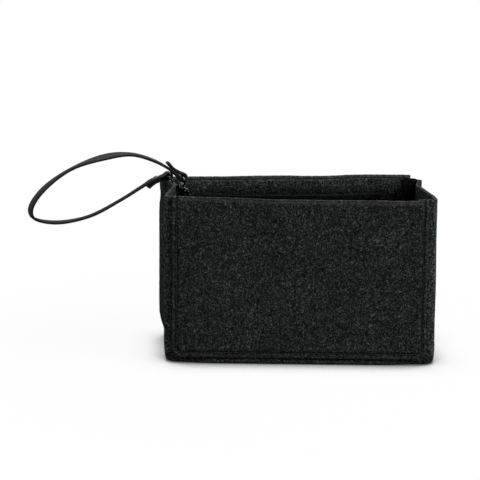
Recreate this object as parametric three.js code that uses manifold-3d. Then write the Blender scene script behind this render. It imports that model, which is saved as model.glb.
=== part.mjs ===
// Organizer pouch: an open felt box with a slip pocket and a riveted wrist strap on two swivel clasps.
// Millimetres, +Z up, the front panel faces -Y, the origin is on the floor under the middle of the pouch.
import * as THREE from "three";
import { mergeVertices } from "three/addons/utils/BufferGeometryUtils.js";
import Module from "manifold-3d";

const wasm = await Module();
wasm.setup();

// Pouch body. It is soft and stands a little skewed: deeper at the right, its back drawn to the left.
const WIDTH = 256; // over the side folds, at the front
const BACK_WIDER = 3.5; // over the back folds, more than at the front
const BACK_SHIFT = -7.6;
const HEIGHT = 162; // floor to the top edge of the front and back panels
const DEPTH_LEFT = 99;
const DEPTH_RIGHT = 120;
const FOOT_SPREAD = 2.6; // the right side stands this much wider at the floor than at the top
const FELT = 3;
const SEAM_GAP = 0.3; // between two layers that are sewn together
const FOLD_RADIUS = 3.6; // outside of the folds that run up the four corners
const CREASE_RADIUS = 14;
const LEFT_CREASE_FROM_BACK = 43.5;
const LEFT_CREASE_IN = 12;
const RIGHT_CREASE_FROM_BACK = 48;
const RIGHT_CREASE_IN = 5;
const LIP = 19; // how far a gusset is turned in behind a panel
const GUSSET_DROP = 0.5; // a gusset's top edge under the panels' top edges
const BACK_DIP = 2.5; // further drop of a gusset's top edge at its back fold
const DIP_LENGTH = 15;
const BASE_RIM = 18; // height of the base's turned-up edge
const BASE_ROUND = 4.6;
const FRONT_CORNER = 13; // of the base in plan, at the floor; the corners sharpen into the folds
const BACK_CORNER = 22;

// Front and back panels
const PANEL_INSET = 8.5; // from the side folds to a panel's cut edge
const PANEL_LIFT = 6.6; // from the floor to a panel's cut edge
const PANEL_CORNER = 8;
const PANEL_BEVEL = 0.4;

// Slip pocket on the inside of the back panel
const POCKET_FELT = 2;
const POCKET_WIDTH = 184;
const POCKET_BOTTOM = 34;
const POCKET_TOP = 144.5;
const POCKET_MOUTH = 8.5; // clear gap behind the pocket at the middle of its top edge
const POCKET_MARGIN = 8; // sewn flat along the sides and the bottom

// Ring tab on the left gusset, and the wire ring in it
const TAB_THICK = 1.5;
const TAB_SEWN = 20;
const TAB_LEAD = 8; // length over which the tab's two layers spread round the ring
const RING_WIRE = 2.5;
const RING_LENGTH = 10; // between the middles of its two long wires
const RING_CORNER = 3.5;
const RING_TILT = 14.5; // degrees above level, at rest
const RING_ROOM = 1; // between a hook and the ring's rounded corner
const TAB_ROOM = 1.5; // between the tab and the ring's short wires
const RUNNING_GAP = 0.3;
const STRAP_SIDE = 21; // from the left crease towards the back, to the middle of the ring

// Wrist strap
const STRAP_WIDTH = 9.5;
const STRAP_THICK = 1.7;
const STRAP_EDGE = 0.5;
const LAYER_GAP = 0.4;
const STRAP_APART = 0.9; // between the strap's two ends
const LOWER_END = 24; // from an eye to the tip of the folded-back tail
const UPPER_END = 20;
const END_CONVERGE = 7; // length over which the two layers close up beside the eye
const TAIL_SPLAY = 1.2;
const REST_RISE = 1.2; // of the lower end's fold above the gusset's top edge
const LOWER_SLOPE = 17; // degrees below level, going away from the pouch
const UPPER_SLOPE = -33;
const STRAP_TWIST = 25; // degrees, where the top of the loop shows its face
const TWIST_AT = -59;
const TWIST_SPAN = 18;

// Rivets
const RIVET_AT = 12; // from the eye
const RIVET_DOME = 3.1;
const RIVET_DOME_HIGH = 1.5;
const RIVET_RIM = 0.4; // upright edge under the dome, and the break of the back's edge
const RIVET_SHANK = 1;
const RIVET_BACK = 2.5;
const RIVET_BACK_HIGH = 0.9;
const RIVET_HOLE = 1.3;

// Swivel clasps
const CLASP_LENGTH = 26; // from the ring's wire to the bar in the strap
const LOWER_TILT = 30; // degrees to the left of upright
const UPPER_TILT = 8;
const UPPER_SLACK = 3; // the upper clasp hangs this far below a tight ring
const UPPER_ASIDE = 1.2;
const HOOK_INSIDE = 2.8; // half the opening's width
const HOOK_ARM = 2;
const HOOK_THICK = 3;
const HOOK_OPENING = 9.6; // from the ring's wire to the top of the opening
const HOOK_BASE_THICK = 5.2;
const HOOK_BASE = 4.4;
const NOSE_TOP = 2.8;
const BARREL_RADIUS = 2.8;
const BARREL_TOP = 17;
const BARREL_GROOVE = 0.35; // depth of the groove round the barrel
const BARREL_GROOVE_FROM = 1; // above the hook's base
const BARREL_GROOVE_WIDE = 1.2;
const BARREL_EDGE = 0.4;
const POST_RADIUS = 1.1;
const POST_BORE = 1.4;
const POST_HEAD_RADIUS = 1.7;
const POST_HEAD = 1;
const POST_HEAD_EDGE = 0.4;
const EYE_WIRE = 2.2;
const EYE_INSIDE_HIGH = 5.6;
const EYE_CORNER = 2.2;
const EYE_SIDE_ROOM = 0.4;
const EYE_COLLAR_IN = 0.5; // the eye's collar is this much smaller than the barrel
const EYE_COLLAR_HIGH = 0.6;
const SLOT_FROM = 1.7; // gate slot, from the clasp's middle line
const SLOT_FLOOR = 8;
const SLOT_TOP = 11.7;
const SLOT_WIDE = 3.6;
const GATE_PIVOT_OUT = 3.5;
const GATE_PIVOT_UP = 9.8;
const GATE_ROOT_RADIUS = 1.5;
const GATE_ROOT_THICK = 1.7;
const GATE_ROOT_ASIDE = 0.65;
const GATE_INSET = 0.1; // the bar is this much thinner than the hook's arm
const GATE_BAR_TOP = 2.1; // the bar ends this far under the pivot
const GATE_NECK_LAP = 0.5; // of the neck on the bar
const GATE_THUMB = 1.4; // reach of the thumb lever
const GATE_THUMB_HIGH = 2.3; // at its foot
const GATE_THUMB_SLOPE = 0.8;
const PIN_RADIUS = 0.7;
const PIN_HEAD = 1.15;
const PIN_HEAD_HIGH = 0.4;
const PIN_PROUD = 0.2; // the pin's heads stand this far off the hook's ears
const PIN_CLEARANCE = 0.15;
const SPRING_RADIUS = 1.15;
const SPRING_WIRE = 0.4;
const SPRING_TURNS = 1.5;
const SPRING_PITCH = 0.44;
const SPRING_ASIDE = 0.68;
const SPRING_LEG = 0.9;

const DEGREE = Math.PI / 180;
const vec2 = (x, y) => new THREE.Vector2(x, y);

const FELT_CHARCOAL = { color: 0x2f3130, roughness: 1, metalness: 0 };
const FELT_INNER = { color: 0x262827, roughness: 1, metalness: 0 };
const STRAP_GREY = { color: 0x3a3b3b, roughness: 0.85, metalness: 0 };
const CHROME = { color: 0xc9cccf, roughness: 0.15, metalness: 1 };
const SPRING_STEEL = { color: 0x8d9093, roughness: 0.35, metalness: 1 };

// A closed geometry as a solid that can be joined and cut.
function solidOf(geometry) {
  const bare = geometry.index ? geometry.toNonIndexed() : geometry.clone();
  bare.deleteAttribute("normal");
  bare.deleteAttribute("uv");
  const merged = mergeVertices(bare, 1e-4);
  return new wasm.Manifold(
    new wasm.Mesh({
      numProp: 3,
      vertProperties: merged.attributes.position.array,
      triVerts: new Uint32Array(merged.index.array),
    }),
  );
}

function geometryOf(solid) {
  const mesh = solid.getMesh();
  const geometry = new THREE.BufferGeometry();
  geometry.setAttribute("position", new THREE.BufferAttribute(mesh.vertProperties, 3));
  geometry.setIndex(new THREE.BufferAttribute(mesh.triVerts, 1));
  const flat = geometry.toNonIndexed();
  flat.computeVertexNormals();
  return flat;
}

const joined = (...parts) =>
  geometryOf(parts.map(solidOf).reduce((all, part) => all.add(part)));

const cutFrom = (body, ...tools) =>
  geometryOf(tools.map(solidOf).reduce((left, tool) => left.subtract(tool), solidOf(body)));

function piece(name, geometry, look) {
  const mesh = new THREE.Mesh(geometry, new THREE.MeshStandardMaterial(look));
  mesh.name = name;
  return mesh;
}

// A path with its corners rounded; every arc has the same number of steps, so that paths can be lofted.
function roundedPath(corners, radii, closed = false, steps = 5) {
  const count = corners.length;
  return corners.flatMap((corner, i) => {
    if (!radii[i] || (!closed && (i === 0 || i === count - 1))) return [corner.clone()];
    const toBefore = corners[(i + count - 1) % count].clone().sub(corner).normalize();
    const toAfter = corners[(i + 1) % count].clone().sub(corner).normalize();
    const half = Math.acos(THREE.MathUtils.clamp(toBefore.dot(toAfter), -1, 1)) / 2;
    const bisector = toBefore.clone().add(toAfter).normalize();
    const centre = corner.clone().addScaledVector(bisector, radii[i] / Math.sin(half));
    const start = corner.clone().addScaledVector(toBefore, radii[i] / Math.tan(half)).sub(centre);
    const turn = Math.PI - 2 * half;
    const sign = Math.sign(toAfter.cross(toBefore));
    return Array.from({ length: steps + 1 }, (_, k) =>
      start.clone().rotateAround(vec2(0, 0), (sign * turn * k) / steps).add(centre),
    );
  });
}

// The same path moved sideways; a positive distance is to the left of travel.
function offsetPath(points, distance, closed = false) {
  const count = points.length;
  const direction = (i) => {
    const from = points[(i + count) % count];
    const to = points[(i + 1) % count];
    return to.clone().sub(from).normalize();
  };
  return points.map((point, i) => {
    const before = !closed && i === 0 ? direction(0) : direction(i - 1);
    const after = !closed && i === count - 1 ? direction(i - 1) : direction(i);
    const middle = before.clone().add(after).normalize();
    const normal = vec2(-middle.y, middle.x);
    return point.clone().addScaledVector(normal, distance / middle.dot(after));
  });
}

// A strip of cloth or metal seen edge-on: the path is one of its faces.
const stripShape = (path, thickness) =>
  new THREE.Shape([...path, ...offsetPath(path, thickness).reverse()]);

// Cross-sections with equal numbers of points, joined into one closed body, or into a closed loop.
function loft(rings, closed = false) {
  const size = rings[0].length;
  const index = [];
  const spans = closed ? rings.length : rings.length - 1;
  for (let i = 0; i < spans; i++) {
    for (let j = 0; j < size; j++) {
      const next = (j + 1) % size;
      const above = (i + 1) % rings.length;
      const [a, b, c, d] = [i * size + j, i * size + next, above * size + next, above * size + j];
      index.push(a, b, c, a, c, d);
    }
  }
  if (!closed) {
    const lastRing = (rings.length - 1) * size;
    for (const [a, b, c] of capTriangles(rings[0])) index.push(a, c, b);
    for (const [a, b, c] of capTriangles(rings.at(-1))) {
      index.push(lastRing + a, lastRing + b, lastRing + c);
    }
  }
  const geometry = new THREE.BufferGeometry().setFromPoints(rings.flat());
  geometry.setIndex(index);
  return geometry;
}

function capTriangles(ring) {
  const normal = new THREE.Vector3();
  ring.forEach((point, i) => normal.add(point.clone().cross(ring[(i + 1) % ring.length])));
  normal.normalize();
  const across = ring[1].clone().sub(ring[0]).normalize();
  const up = normal.clone().cross(across);
  const flat = ring.map((point) => vec2(point.dot(across), point.dot(up)));
  return THREE.ShapeUtils.triangulateShape(flat, []);
}

// An outline in the XZ plane with its thickness along Y, centred on Y = aside.
function plateXZ(shape, thickness, aside = 0, bevel = 0) {
  const geometry = new THREE.ExtrudeGeometry(shape, {
    depth: thickness - 2 * bevel,
    bevelEnabled: bevel > 0,
    bevelThickness: bevel,
    bevelSize: bevel,
    bevelOffset: -bevel,
    bevelSegments: 1,
    curveSegments: 10,
  });
  geometry.rotateX(Math.PI / 2);
  return geometry.translate(0, aside + thickness / 2 - bevel, 0);
}

// A body turned about the Z axis; the profile holds pairs of radius and height, from the axis to the axis.
function turned(profile, sides = 20) {
  return new THREE.LatheGeometry(profile.map(([r, z]) => vec2(r, z)), sides).rotateX(Math.PI / 2);
}

// A round wire bent into a flat closed loop: corners in the YZ plane.
function wireLoop(corners, radius, cornerRadius, sides = 10) {
  const path = roundedPath(corners, corners.map(() => cornerRadius), true, 5);
  const outer = offsetPath(path, -1, true);
  const rings = path.map((point, i) => {
    const outward = outer[i].clone().sub(point);
    return Array.from({ length: sides }, (_, k) => {
      const angle = (2 * Math.PI * k) / sides;
      const spot = point.clone().addScaledVector(outward, radius * Math.cos(angle));
      return new THREE.Vector3(-radius * Math.sin(angle), spot.x, spot.y);
    });
  });
  return loft(rings, true);
}

// Plan of the pouch's top: the outer face of its felt.
const frontY = -(DEPTH_LEFT + DEPTH_RIGHT) / 4;
const frontLeft = vec2(-WIDTH / 2, frontY);
const frontRight = vec2(WIDTH / 2, frontY);
const backHalf = (WIDTH + BACK_WIDER) / 2;
const backLeft = vec2(BACK_SHIFT - backHalf, frontY + DEPTH_LEFT);
const backRight = vec2(BACK_SHIFT + backHalf, frontY + DEPTH_RIGHT);
const backWay = backRight.clone().sub(backLeft).normalize();
const backTurn = backWay.angle();
const gussetTop = HEIGHT - GUSSET_DROP;
const spreadAt = (z) => FOOT_SPREAD * (1 - z / HEIGHT);

// A crease lies between the front and back folds of a gusset, pushed into the pouch.
function creaseOf(front, back, fromBack, inward, side) {
  const forward = front.clone().sub(back).normalize();
  const inside = vec2(forward.y, -forward.x).multiplyScalar(side);
  return back.clone().addScaledVector(forward, fromBack).addScaledVector(inside, inward);
}
const leftCrease = creaseOf(frontLeft, backLeft, LEFT_CREASE_FROM_BACK, LEFT_CREASE_IN, -1);
const rightCrease = creaseOf(frontRight, backRight, RIGHT_CREASE_FROM_BACK, RIGHT_CREASE_IN, 1);

// The three corners of one side at a height; the right side leans out towards the floor.
function sideAt(side, z) {
  if (side < 0) return { front: frontLeft, crease: leftCrease, back: backLeft };
  const spread = vec2(spreadAt(z), 0);
  return {
    front: frontRight.clone().add(spread),
    crease: rightCrease.clone().add(spread),
    back: backRight.clone().addScaledVector(backWay, spreadAt(z)),
  };
}

// One gusset with its two lips: a strip of felt that runs from lip to lip round both folds.
function gusset(name, side) {
  const edgeAt = (z, dip) => {
    const { front, crease, back } = sideAt(side, z);
    const dipStart = back.clone().add(crease.clone().sub(back).setLength(DIP_LENGTH));
    const path = roundedPath(
      [
        vec2(front.x - side * LIP, front.y),
        front,
        crease,
        dipStart,
        back,
        back.clone().addScaledVector(backWay, -side * LIP),
      ],
      [0, FOLD_RADIUS, CREASE_RADIUS, 0, FOLD_RADIUS, 0],
    );
    const dipFrom = path.findIndex((point) => point.equals(dipStart)) + 1;
    const raise = (point, i) => new THREE.Vector3(point.x, point.y, z - (i < dipFrom ? 0 : dip));
    const outside = path.map(raise);
    const inside = offsetPath(path, side * FELT).map(raise);
    const ring = [...outside, ...inside.reverse()];
    return side < 0 ? ring.reverse() : ring;
  };
  const strip = loft([edgeAt(BASE_RIM + SEAM_GAP, 0), edgeAt(gussetTop, BACK_DIP)]);
  return piece(name, strip, FELT_CHARCOAL);
}

// The base is a shallow tray: its edge is turned up all round, with a rounded lower corner.
function basePanel() {
  const outlineAt = (inset, z) => {
    const sharpening = (corner) => FOLD_RADIUS + (corner - FOLD_RADIUS) * (1 - z / BASE_RIM) ** 2;
    const front = Math.max(sharpening(FRONT_CORNER) - inset, 0.6);
    const back = Math.max(sharpening(BACK_CORNER) - inset, 0.6);
    const radii = [front, front, CREASE_RADIUS, back, back, CREASE_RADIUS];
    const left = sideAt(-1, z);
    const right = sideAt(1, z);
    const corners = [left.front, right.front, right.crease, right.back, left.back, left.crease];
    const moved = offsetPath(corners, inset, true);
    return roundedPath(moved, radii, true).map((p) => new THREE.Vector3(p.x, p.y, z));
  };
  const steps = 4;
  const quarter = (k) => (Math.PI / 2) * (k / steps);
  const outer = Array.from({ length: steps + 1 }, (_, k) =>
    outlineAt(BASE_ROUND * (1 - Math.sin(quarter(k))), BASE_ROUND * (1 - Math.cos(quarter(k)))),
  );
  const innerRound = BASE_ROUND - FELT;
  const inner = Array.from({ length: steps + 1 }, (_, k) =>
    outlineAt(
      FELT + innerRound * (1 - Math.cos(quarter(k))),
      FELT + innerRound * (1 - Math.sin(quarter(k))),
    ),
  );
  const rings = [...outer, outlineAt(0, BASE_RIM), outlineAt(FELT, BASE_RIM), ...inner];
  return piece("base_panel", loft(rings), FELT_CHARCOAL);
}

function panelShape(width) {
  const half = width / 2;
  const corner = PANEL_CORNER;
  const shape = new THREE.Shape();
  shape.moveTo(-half, HEIGHT);
  shape.lineTo(-half, PANEL_LIFT + corner);
  shape.absarc(-half + corner, PANEL_LIFT + corner, corner, Math.PI, 1.5 * Math.PI, false);
  shape.absarc(half + spreadAt(0) - corner, PANEL_LIFT + corner, corner, -Math.PI / 2, 0, false);
  shape.lineTo(half, HEIGHT);
  return shape;
}

function frontPanel() {
  const width = WIDTH - 2 * PANEL_INSET;
  const plate = plateXZ(panelShape(width), FELT, -SEAM_GAP - FELT / 2, PANEL_BEVEL);
  return piece("front_panel", plate.translate(0, frontY, 0), FELT_CHARCOAL);
}

function backPanel() {
  const width = backRight.distanceTo(backLeft) - 2 * PANEL_INSET;
  return piece(
    "back_panel",
    plateXZ(panelShape(width), FELT, SEAM_GAP + FELT / 2, PANEL_BEVEL),
    FELT_CHARCOAL,
  );
}

// The pocket is sewn flat along three sides and bows away from the back panel towards its mouth.
function slipPocket() {
  const across = 16;
  const up = 9;
  const half = POCKET_WIDTH / 2;
  const high = POCKET_TOP - POCKET_BOTTOM;
  const flatShare = POCKET_MARGIN / half;
  const bow = (a, b) => {
    const side = THREE.MathUtils.smoothstep(1 - Math.abs(a), flatShare, 0.5);
    const rise = THREE.MathUtils.smoothstep(b * high, POCKET_MARGIN, high * 0.85);
    return POCKET_MOUTH * side * rise;
  };
  const rings = Array.from({ length: up + 1 }, (_, row) => {
    const b = row / up;
    const z = POCKET_BOTTOM + b * high;
    const line = (offset) =>
      Array.from({ length: across + 1 }, (_, col) => {
        const a = (2 * col) / across - 1;
        return new THREE.Vector3(a * half, -bow(a, b) - offset, z);
      });
    return [...line(POCKET_FELT), ...line(0).reverse()];
  });
  return piece("slip_pocket", loft(rings), FELT_INNER);
}

// Everything on the left gusset's tab is laid out in the plane square to that gusset's rear half:
// X into the pouch from the felt's outer face, Y along the gusset, Z up from its top edge.
const gussetWay = backLeft.clone().sub(leftCrease).normalize();
const strapTurn = Math.atan2(-gussetWay.x, gussetWay.y);

const ringWireRadius = RING_WIRE / 2;
const hookSpread = (STRAP_WIDTH + STRAP_APART) / 2;
const ringHalf = hookSpread + HOOK_THICK / 2 + RING_ROOM + RING_CORNER;
const tabLoop = ringWireRadius + RUNNING_GAP + TAB_THICK; // outside radius of the tab's loop
const eyeWireRadius = EYE_WIRE / 2;
const foldInside = eyeWireRadius + RUNNING_GAP;
const foldMiddle = foldInside + STRAP_THICK / 2;

const leaning = (degrees, length) =>
  vec2(-Math.sin(degrees * DEGREE), Math.cos(degrees * DEGREE)).multiplyScalar(length);

// The ring's inner wire lies in the tab, its outer wire in both hooks.
const tabX = FELT + SEAM_GAP + tabLoop;
const ringX = tabX + RING_LENGTH * Math.cos(RING_TILT * DEGREE);
const lowerBarZ = REST_RISE + STRAP_THICK + foldInside;
const ringZ = lowerBarZ - CLASP_LENGTH * Math.cos(LOWER_TILT * DEGREE);
const ringOuter = vec2(ringX, ringZ);
const ringInner = vec2(tabX, ringZ - RING_LENGTH * Math.sin(RING_TILT * DEGREE));
const lowerBar = ringOuter.clone().add(leaning(LOWER_TILT, CLASP_LENGTH));
const upperSeat = ringOuter
  .clone()
  .sub(leaning(UPPER_TILT, UPPER_SLACK))
  .add(leaning(UPPER_TILT - 90, UPPER_ASIDE));
const upperBar = upperSeat.clone().add(leaning(UPPER_TILT, CLASP_LENGTH));

function ringTab() {
  const layer = TAB_THICK + SEAM_GAP;
  const foot = ringInner.y - TAB_LEAD - TAB_SEWN;
  const lead = ringInner.y - TAB_LEAD;
  const wall = FELT + SEAM_GAP;
  const steps = 10;
  const bend = Array.from({ length: steps + 1 }, (_, k) =>
    vec2(tabLoop, 0).rotateAround(vec2(0, 0), (Math.PI * k) / steps).add(ringInner),
  );
  const path = [
    vec2(wall + layer + TAB_THICK, foot),
    vec2(wall + layer + TAB_THICK, lead),
    ...bend,
    vec2(wall, foot),
  ];
  const width = 2 * (ringHalf - ringWireRadius - TAB_ROOM);
  return piece("ring_tab", plateXZ(stripShape(path, TAB_THICK), width, STRAP_SIDE), FELT_INNER);
}

function anchorRing() {
  const corners = [
    vec2(-ringHalf, 0),
    vec2(ringHalf, 0),
    vec2(ringHalf, RING_LENGTH),
    vec2(-ringHalf, RING_LENGTH),
  ];
  const ring = piece("anchor_ring", wireLoop(corners, ringWireRadius, RING_CORNER), CHROME);
  ring.position.set(ringInner.x, STRAP_SIDE, ringInner.y);
  ring.rotation.y = (90 - RING_TILT) * DEGREE;
  return ring;
}

// The hook is a C with a thick forked base; its opening faces right and the gate closes it.
const hookBow = HOOK_INSIDE - ringWireRadius - RUNNING_GAP; // height of the bow's centre above the wire
const hookHalf = HOOK_INSIDE + HOOK_ARM;
const baseTop = HOOK_OPENING + HOOK_BASE;

function hookBody(name) {
  const outline = new THREE.Shape();
  outline.moveTo(-hookHalf, baseTop - HOOK_ARM);
  outline.absarc(0, hookBow, hookHalf, Math.PI, 2 * Math.PI, false);
  outline.lineTo(hookHalf, baseTop - HOOK_ARM);
  outline.lineTo(BARREL_RADIUS, baseTop);
  outline.lineTo(-BARREL_RADIUS, baseTop);
  const opening = new THREE.Shape();
  opening.absarc(0, hookBow, HOOK_INSIDE, Math.PI, 2 * Math.PI, false);
  opening.lineTo(HOOK_INSIDE, HOOK_OPENING);
  opening.lineTo(-HOOK_INSIDE, HOOK_OPENING);
  const base = new THREE.Shape([
    vec2(-hookHalf, SLOT_FLOOR),
    vec2(-HOOK_INSIDE, SLOT_FLOOR),
    vec2(-HOOK_INSIDE, HOOK_OPENING),
    vec2(SLOT_FROM, HOOK_OPENING),
    vec2(SLOT_FROM, SLOT_FLOOR),
    vec2(hookHalf, SLOT_FLOOR),
    vec2(hookHalf, baseTop - HOOK_ARM),
    vec2(BARREL_RADIUS, baseTop),
    vec2(-BARREL_RADIUS, baseTop),
    vec2(-hookHalf, baseTop - HOOK_ARM),
  ]);
  const grooveFrom = baseTop + BARREL_GROOVE_FROM;
  const barrel = turned([
    [0, baseTop - 1],
    [BARREL_RADIUS, baseTop - 1],
    [BARREL_RADIUS, grooveFrom],
    [BARREL_RADIUS - BARREL_GROOVE, grooveFrom + BARREL_GROOVE],
    [BARREL_RADIUS - BARREL_GROOVE, grooveFrom + BARREL_GROOVE_WIDE - BARREL_GROOVE],
    [BARREL_RADIUS, grooveFrom + BARREL_GROOVE_WIDE],
    [BARREL_RADIUS, BARREL_TOP - BARREL_EDGE],
    [BARREL_RADIUS - BARREL_EDGE, BARREL_TOP],
    [0, BARREL_TOP],
  ]);
  const outside = hookHalf + 2;
  const gateGap = new THREE.Shape([
    vec2(SLOT_FROM, NOSE_TOP),
    vec2(outside, NOSE_TOP),
    vec2(outside, SLOT_FLOOR),
    vec2(SLOT_FROM, SLOT_FLOOR),
  ]);
  const slot = new THREE.Shape([
    vec2(SLOT_FROM, SLOT_FLOOR - 1),
    vec2(outside, SLOT_FLOOR - 1),
    vec2(outside, SLOT_TOP),
    vec2(SLOT_FROM, SLOT_TOP),
  ]);
  const bore = new THREE.CylinderGeometry(POST_BORE, POST_BORE, BARREL_TOP, 16);
  bore.rotateX(Math.PI / 2).translate(0, 0, BARREL_TOP / 2 + HOOK_OPENING / 2);
  const solid = joined(
    cutFrom(plateXZ(outline, HOOK_THICK, 0, 0.5), plateXZ(opening, 2 * HOOK_THICK)),
    plateXZ(base, HOOK_BASE_THICK, 0),
    barrel,
  );
  const hole = pinCylinder(PIN_RADIUS + PIN_CLEARANCE, 2 * HOOK_BASE_THICK);
  const cuts = [plateXZ(gateGap, 2 * HOOK_BASE_THICK), plateXZ(slot, SLOT_WIDE), bore, hole];
  return piece(name, cutFrom(solid, ...cuts), CHROME);
}

// A cylinder on the gate's pivot, along Y.
const pinCylinder = (radius, length, sides = 14) =>
  new THREE.CylinderGeometry(radius, radius, length, sides)
    .translate(GATE_PIVOT_OUT, 0, GATE_PIVOT_UP);

// The gate: a bar between the nose and the base, a thumb lever and a root that turns on the pin.
function gate(name) {
  const inner = HOOK_INSIDE + GATE_INSET;
  const foot = NOSE_TOP + RUNNING_GAP;
  const top = GATE_PIVOT_UP - GATE_BAR_TOP;
  const thumbFoot = top - GATE_THUMB_HIGH;
  const thumbOut = hookHalf + GATE_THUMB;
  const bar = new THREE.Shape([
    vec2(inner, foot),
    vec2(hookHalf, foot),
    vec2(hookHalf, thumbFoot),
    vec2(thumbOut, thumbFoot + GATE_THUMB_SLOPE),
    vec2(thumbOut, top - GATE_THUMB_SLOPE),
    vec2(hookHalf, top),
    vec2(inner, top),
  ]);
  const neck = new THREE.Shape([
    vec2(inner, top - GATE_NECK_LAP),
    vec2(hookHalf, top - GATE_NECK_LAP),
    vec2(GATE_PIVOT_OUT + GATE_ROOT_RADIUS, GATE_PIVOT_UP),
    vec2(inner, GATE_PIVOT_UP),
  ]);
  const root = pinCylinder(GATE_ROOT_RADIUS, GATE_ROOT_THICK, 18).translate(0, -GATE_ROOT_ASIDE, 0);
  const solid = joined(
    plateXZ(bar, HOOK_THICK, 0, 0.3),
    plateXZ(neck, GATE_ROOT_THICK, -GATE_ROOT_ASIDE),
    root,
  );
  const hole = pinCylinder(PIN_RADIUS + PIN_CLEARANCE, 2 * HOOK_BASE_THICK);
  return piece(name, cutFrom(solid, hole), CHROME);
}

function gatePin(name) {
  const reach = HOOK_BASE_THICK / 2 + PIN_PROUD;
  const pin = turned(
    [
      [0, -reach - PIN_HEAD_HIGH],
      [PIN_HEAD, -reach],
      [PIN_RADIUS, -reach],
      [PIN_RADIUS, reach],
      [PIN_HEAD, reach],
      [0, reach + PIN_HEAD_HIGH],
    ],
    14,
  );
  pin.rotateX(Math.PI / 2).translate(GATE_PIVOT_OUT, 0, GATE_PIVOT_UP);
  return piece(name, pin, CHROME);
}

// A short torsion spring round the pin, beside the gate's root.
function gateSpring(name) {
  const steps = Math.round(SPRING_TURNS * 10);
  const middle = (SPRING_TURNS * SPRING_PITCH) / 2;
  const coil = Array.from({ length: steps + 1 }, (_, k) => {
    const angle = (2 * Math.PI * SPRING_TURNS * k) / steps - Math.PI / 2;
    return new THREE.Vector3(
      GATE_PIVOT_OUT + SPRING_RADIUS * Math.cos(angle),
      SPRING_ASIDE + (SPRING_TURNS * SPRING_PITCH * k) / steps - middle + SPRING_WIRE / 2,
      GATE_PIVOT_UP + SPRING_RADIUS * Math.sin(angle),
    );
  });
  const first = coil[0].clone().add(new THREE.Vector3(-SPRING_LEG, 0, 0));
  const last = coil.at(-1).clone().add(new THREE.Vector3(-SPRING_LEG, 0, 0));
  const line = new THREE.CatmullRomCurve3([first, ...coil, last]);
  const section = new THREE.Shape();
  section.absarc(0, 0, SPRING_WIRE / 2, 0, 2 * Math.PI, false);
  const wire = new THREE.ExtrudeGeometry(section, {
    steps: 3 * steps,
    curveSegments: 3,
    extrudePath: line,
    bevelEnabled: false,
  });
  return piece(name, wire, SPRING_STEEL);
}

// The eye's bar runs through the fold of the strap; its post turns in the hook's barrel.
function swivelEye(name) {
  const half = STRAP_WIDTH / 2 + EYE_SIDE_ROOM + eyeWireRadius;
  const foot = CLASP_LENGTH - EYE_INSIDE_HIGH - EYE_WIRE;
  const corners = [vec2(-half, foot), vec2(half, foot), vec2(half, CLASP_LENGTH), vec2(-half, CLASP_LENGTH)];
  const neckFoot = BARREL_TOP + RUNNING_GAP;
  const headFoot = HOOK_OPENING - RUNNING_GAP - POST_HEAD;
  const collar = BARREL_RADIUS - EYE_COLLAR_IN;
  const post = turned([
    [0, headFoot],
    [POST_HEAD_RADIUS - POST_HEAD_EDGE, headFoot],
    [POST_HEAD_RADIUS, headFoot + POST_HEAD_EDGE],
    [POST_HEAD_RADIUS, headFoot + POST_HEAD],
    [POST_RADIUS, headFoot + POST_HEAD],
    [POST_RADIUS, neckFoot],
    [collar, neckFoot],
    [collar, neckFoot + EYE_COLLAR_HIGH],
    [POST_RADIUS, foot],
    [0, foot],
  ]);
  return piece(name, joined(wireLoop(corners, eyeWireRadius, EYE_CORNER), post), CHROME);
}

function claspGroup(tilt, seat, aside) {
  const group = new THREE.Group();
  group.position.set(seat.x, STRAP_SIDE + aside, seat.y);
  group.rotation.y = -tilt * DEGREE;
  return group;
}

function clasp(name, tilt, seat, aside) {
  const group = claspGroup(tilt, seat, aside);
  group.add(
    swivelEye(name + "_swivel_eye"),
    hookBody(name + "_hook"),
    gate(name + "_gate"),
    gatePin(name + "_gate_pin"),
    gateSpring(name + "_gate_spring"),
  );
  return group;
}

// One end of the strap: it comes in on one side of the bar, folds round it and leaves on the other.
function strapEnd(bar, slope, length) {
  const way = vec2(-Math.cos(slope * DEGREE), -Math.sin(slope * DEGREE));
  const side = vec2(-way.y, way.x);
  const layerHalf = (STRAP_THICK + LAYER_GAP) / 2;
  const spread = (s) =>
    foldMiddle + (layerHalf - foldMiddle) * THREE.MathUtils.smoothstep(s, 0, END_CONVERGE);
  const spot = (s, sign, splay = 0) =>
    bar.clone().addScaledVector(way, s).addScaledVector(side, sign * (spread(s) + splay));
  const fold = Array.from({ length: 7 }, (_, k) =>
    side.clone().multiplyScalar(foldMiddle).rotateAround(vec2(0, 0), (Math.PI * k) / 6).add(bar),
  );
  return { side, spot, fold, length };
}

const lowerEnd = strapEnd(lowerBar, LOWER_SLOPE, LOWER_END);
const upperEnd = strapEnd(upperBar, UPPER_SLOPE, UPPER_END);

// The free loop, from the lower end round to the upper end, in the strap's plane.
const LOOP_ROUTE = [
  [-24, -5.4],
  [-45.8, -16.8],
  [-80, -30.7],
  [-113.5, -34.6],
  [-134, -28.4],
  [-137.2, -17],
  [-126, -2.6],
  [-98, 15.8],
  [-64, 28],
  [-38, 29.3],
  [-15, 22.6],
];

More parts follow.
